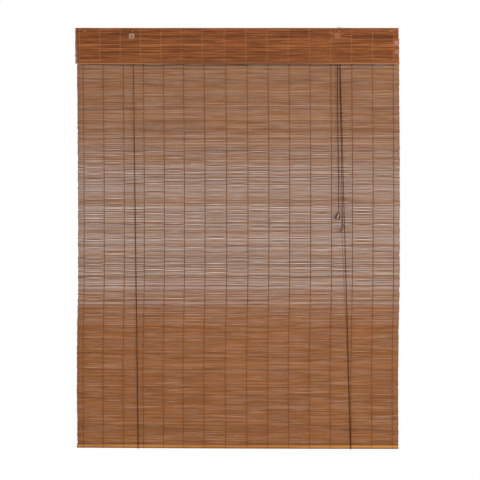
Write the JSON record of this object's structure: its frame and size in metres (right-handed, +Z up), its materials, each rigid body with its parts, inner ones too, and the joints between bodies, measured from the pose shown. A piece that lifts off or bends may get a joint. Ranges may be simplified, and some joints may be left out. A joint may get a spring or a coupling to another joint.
{
  "type": "bamboo roll up blind",
  "caption": "Roll up blind of split bamboo reeds with a double reed valance, wooden head rail, bottom bar, lift cord loops, a cord lock and bell shaped cord pulls.",
  "frame": {"origin": "on the wall plane, midway between the two fixing holes and at their height", "axes": "+Z up, +X to the right for someone who faces the blind, -Y into the room"},
  "size_m": [1.198, 0.0395, 1.5652],
  "materials": {
    "mat_reed": "split bamboo, stained, satin",
    "valance_reed": "split bamboo, stained, satin",
    "golden_lath": "planed bamboo, clear finish",
    "rail_wood": "planed softwood",
    "bell_wood": "turned wood, gloss brown lacquer",
    "mat_thread": "twisted brown thread",
    "valance_thread": "twisted thread",
    "cord": "braided cord",
    "pale_plate": "moulded, matte",
    "wheel_nylon": "moulded, matte",
    "steel": "zinc plated",
    "cam_metal": "cast, as made"
  },
  "bodies": {
    "head": {"head_rail": "rail_wood", "reed_mat": "mat_reed", "warp_threads": "mat_thread", "mat_staples": "steel", "cord_staples": "steel", "valance_rear_layer": "valance_reed", "valance_front_layer": "valance_reed", "valance_threads": "valance_thread", "valance_lath": "golden_lath", "valance_nails": "steel", "fixing_plate_left": "pale_plate", "fixing_plate_right": "pale_plate", "guide_frame": "steel", "guide_screws": "steel", "guide_pin": "steel", "lock_frame": "steel", "lock_screws": "steel", "sheave_pin": "steel", "cam_pin": "steel", "left_cord_loop": "cord", "right_cord_loop": "cord", "left_head_run": "cord", "right_head_turn": "cord", "left_pull_cord": "cord", "right_pull_cord": "cord"},
    "bar": {"bottom_bar": "golden_lath", "bar_bindings": "mat_thread"},
    "left_pull": {"left_pull_bell": "bell_wood", "left_pull_knot": "cord"},
    "right_pull": {"right_pull_bell": "bell_wood", "right_pull_knot": "cord"},
    "wheel": {"guide_wheel": "wheel_nylon"},
    "sheave_front": {"front_sheave": "wheel_nylon"},
    "sheave_rear": {"rear_sheave": "wheel_nylon"},
    "cam": {"lock_cam": "cam_metal"}
  },
  "joints": [
    {"name": "bar_lift", "type": "slide", "parent": "head", "child": "bar", "axis": [0, 0, 1], "range_m": [0, 1.4], "deforming": ["reed_mat", "warp_threads", "left_cord_loop", "right_cord_loop"]},
    {"name": "left_pull_drop", "type": "slide", "parent": "head", "child": "left_pull", "axis": [0, 0, -1], "range_m": [0, 2.8], "deforming": ["left_pull_cord"]},
    {"name": "right_pull_drop", "type": "slide", "parent": "head", "child": "right_pull", "axis": [0, 0, -1], "range_m": [0, 2.8], "deforming": ["right_pull_cord"]},
    {"name": "guide_wheel_spin", "type": "hinge", "parent": "head", "child": "wheel", "pos_m": [-0.3717, -0.02, -0.0258], "axis": [0, 1, 0], "continuous": true},
    {"name": "front_sheave_spin", "type": "hinge", "parent": "head", "child": "sheave_front", "pos_m": [0.3825, -0.02, -0.0243], "axis": [0, 1, 0], "continuous": true},
    {"name": "rear_sheave_spin", "type": "hinge", "parent": "head", "child": "sheave_rear", "pos_m": [0.3825, -0.0148, -0.0243], "axis": [0, 1, 0], "continuous": true},
    {"name": "lock_cam_swing", "type": "hinge", "parent": "head", "child": "cam", "pos_m": [0.3825, -0.0174, -0.037], "axis": [0, 1, 0], "range_deg": [-12, 12]}
  ],
  "couplings": [
    {"joint": "left_pull_drop", "follows": "bar_lift", "ratio": 2},
    {"joint": "right_pull_drop", "follows": "bar_lift", "ratio": 2},
    {"joint": "guide_wheel_spin", "follows": "bar_lift", "rad_per_m": 333.33},
    {"joint": "front_sheave_spin", "follows": "bar_lift", "rad_per_m": 444.44},
    {"joint": "rear_sheave_spin", "follows": "bar_lift", "rad_per_m": -444.44}
  ]
}
